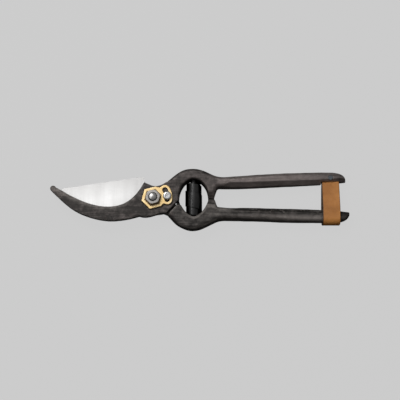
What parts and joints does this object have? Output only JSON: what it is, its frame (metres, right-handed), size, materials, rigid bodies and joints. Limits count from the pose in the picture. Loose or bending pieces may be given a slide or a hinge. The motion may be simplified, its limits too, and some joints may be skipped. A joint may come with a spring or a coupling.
{
  "type": "pruning shears",
  "caption": "Forged bypass pruning shears: hooked counter blade, polished cutting blade, volute spring between bowed handles, brass lock plate on the pivot nut, leather keeper strap.",
  "frame": {"origin": "on the pivot axis, at the resting plane: the outer face of the pivot bolt's head", "axes": "+X along the shears towards the handle ends, +Y in the plane of the blades towards the handle that belongs to the hook, +Z along the pivot axis towards the nut"},
  "size_m": [0.1994, 0.0412, 0.0182],
  "materials": {
    "forged_black": "dark scale finish on forged steel, satin, worn at the edges",
    "forged_handle": "dark scale finish on forged steel, rough, worn at the edges",
    "polished_steel": "fine ground, bright",
    "bolt_steel": "turned, satin, slightly dulled",
    "nut_steel": "dull grey steel",
    "screw_nickel": "bright plated",
    "brass": "pressed, bright along the bevels",
    "spring_black": "black oiled spring strip, satin",
    "leather": "tan full-grain leather with darkened edges"
  },
  "bodies": {
    "hook_side": {"hook_handle": "forged_black", "pivot_bolt": "bolt_steel", "pivot_washer": "brass", "lock_screw": "screw_nickel", "upper_spring_peg": "bolt_steel", "volute_spring": "spring_black", "strap_pin": "bolt_steel"},
    "blade_side": {"lower_handle": "forged_handle", "cutting_blade": "polished_steel", "blade_rivets": "bolt_steel", "lower_spring_peg": "bolt_steel"},
    "nut_side": {"pivot_nut": "nut_steel", "lock_plate": "brass"},
    "strap": {"leather_strap": "leather"}
  },
  "joints": [
    {"name": "blade_pivot", "type": "hinge", "parent": "hook_side", "child": "blade_side", "pos_m": [0, 0, 0.006], "axis": [0, 0, -1], "range_deg": [0, 30], "deforming": ["volute_spring"]},
    {"name": "nut_lock", "type": "hinge", "parent": "hook_side", "child": "nut_side", "pos_m": [0, 0, 0.012], "axis": [0, 0, 1], "range_deg": [-25, 14]},
    {"name": "strap_swing", "type": "hinge", "parent": "hook_side", "child": "strap", "pos_m": [0.1185, 0.0143, 0.006], "axis": [0, 0, 1], "range_deg": [0, 60], "deforming": ["leather_strap"]}
  ]
}
